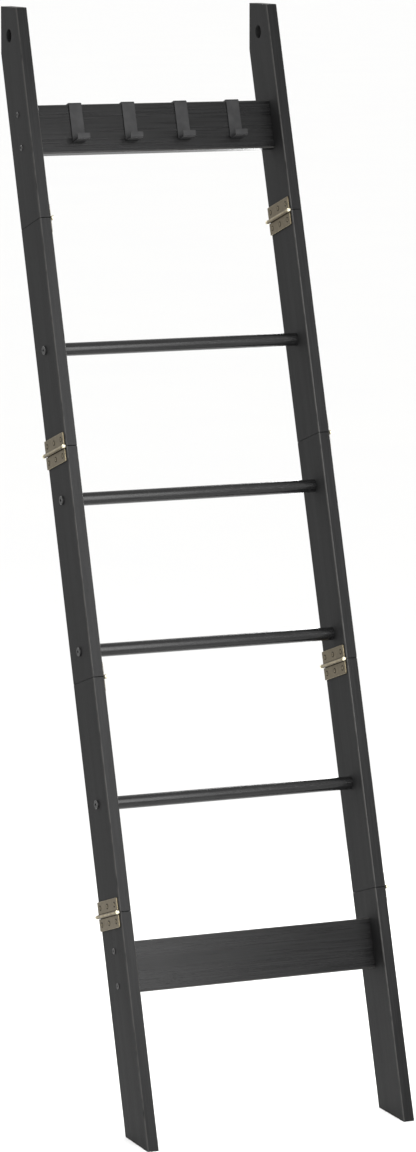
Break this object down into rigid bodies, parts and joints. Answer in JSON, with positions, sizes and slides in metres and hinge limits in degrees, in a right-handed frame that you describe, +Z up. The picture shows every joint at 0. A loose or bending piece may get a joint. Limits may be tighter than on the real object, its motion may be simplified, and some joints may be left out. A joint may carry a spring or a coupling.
{
  "type": "leaning blanket ladder",
  "caption": "Leaning quilt ladder in black wood: jointed rails with brass fold hinges, round rungs, cross boards and sliding coat hooks on the top board.",
  "frame": {"origin": "centre of the bounding box on the floor: midway between the rails, and midway between the toes and the wall plane", "axes": "+X to the right as seen from the front, +Y towards the wall, +Z up"},
  "size_m": [0.445, 0.5853, 1.65],
  "materials": {
    "rail_wood": "satin black paint over fine-grained wood, edges eased",
    "board_wood": "satin black paint over fine-grained wood, edges eased",
    "rung_wood": "satin black paint over a turned dowel",
    "hook_steel": "fine-textured matte black powder coat",
    "bolt_steel": "black oxide and lacquer, satin",
    "hinge_brass": "antique brass, mottled brown with rubbed edges",
    "pin_brass": "antique brass, polished on the ball tips",
    "screw_brass": "antique brass",
    "insert_brass": "turned brass"
  },
  "bodies": {
    "ladder": {"top_board": "board_wood", "bottom_board": "board_wood", "rung_1": "rung_wood", "rung_2": "rung_wood", "rung_3": "rung_wood", "rung_4": "rung_wood", "rung_inserts": "insert_brass", "left_rail_foot": "rail_wood", "left_rail_lower": "rail_wood", "left_rail_middle": "rail_wood", "left_rail_upper": "rail_wood", "left_rail_top": "rail_wood", "left_rung_bolts": "bolt_steel", "left_board_screws": "bolt_steel", "left_hinge_1_upper_leaf": "hinge_brass", "left_hinge_1_lower_leaf": "hinge_brass", "left_hinge_1_pin": "pin_brass", "left_hinge_1_screws": "screw_brass", "left_hinge_2_upper_leaf": "hinge_brass", "left_hinge_2_lower_leaf": "hinge_brass", "left_hinge_2_pin": "pin_brass", "left_hinge_2_screws": "screw_brass", "left_hinge_3_upper_leaf": "hinge_brass", "left_hinge_3_lower_leaf": "hinge_brass", "left_hinge_3_pin": "pin_brass", "left_hinge_3_screws": "screw_brass", "left_hinge_4_upper_leaf": "hinge_brass", "left_hinge_4_lower_leaf": "hinge_brass", "left_hinge_4_pin": "pin_brass", "left_hinge_4_screws": "screw_brass", "right_rail_foot": "rail_wood", "right_rail_lower": "rail_wood", "right_rail_middle": "rail_wood", "right_rail_upper": "rail_wood", "right_rail_top": "rail_wood", "right_rung_bolts": "bolt_steel", "right_board_screws": "bolt_steel", "right_hinge_1_upper_leaf": "hinge_brass", "right_hinge_1_lower_leaf": "hinge_brass", "right_hinge_1_pin": "pin_brass", "right_hinge_1_screws": "screw_brass", "right_hinge_2_upper_leaf": "hinge_brass", "right_hinge_2_lower_leaf": "hinge_brass", "right_hinge_2_pin": "pin_brass", "right_hinge_2_screws": "screw_brass", "right_hinge_3_upper_leaf": "hinge_brass", "right_hinge_3_lower_leaf": "hinge_brass", "right_hinge_3_pin": "pin_brass", "right_hinge_3_screws": "screw_brass", "right_hinge_4_upper_leaf": "hinge_brass", "right_hinge_4_lower_leaf": "hinge_brass", "right_hinge_4_pin": "pin_brass", "right_hinge_4_screws": "screw_brass"},
    "hook_1": {"hook_1": "hook_steel"},
    "hook_2": {"hook_2": "hook_steel"},
    "hook_3": {"hook_3": "hook_steel"},
    "hook_4": {"hook_4": "hook_steel"}
  },
  "joints": [
    {"name": "hook_1_slide", "type": "slide", "parent": "ladder", "child": "hook_1", "axis": [1, 0, 0], "range_m": [-0.061, 0.032]},
    {"name": "hook_2_slide", "type": "slide", "parent": "ladder", "child": "hook_2", "axis": [1, 0, 0], "range_m": [-0.032, 0.032]},
    {"name": "hook_3_slide", "type": "slide", "parent": "ladder", "child": "hook_3", "axis": [1, 0, 0], "range_m": [-0.032, 0.032]},
    {"name": "hook_4_slide", "type": "slide", "parent": "ladder", "child": "hook_4", "axis": [1, 0, 0], "range_m": [-0.032, 0.051]}
  ]
}
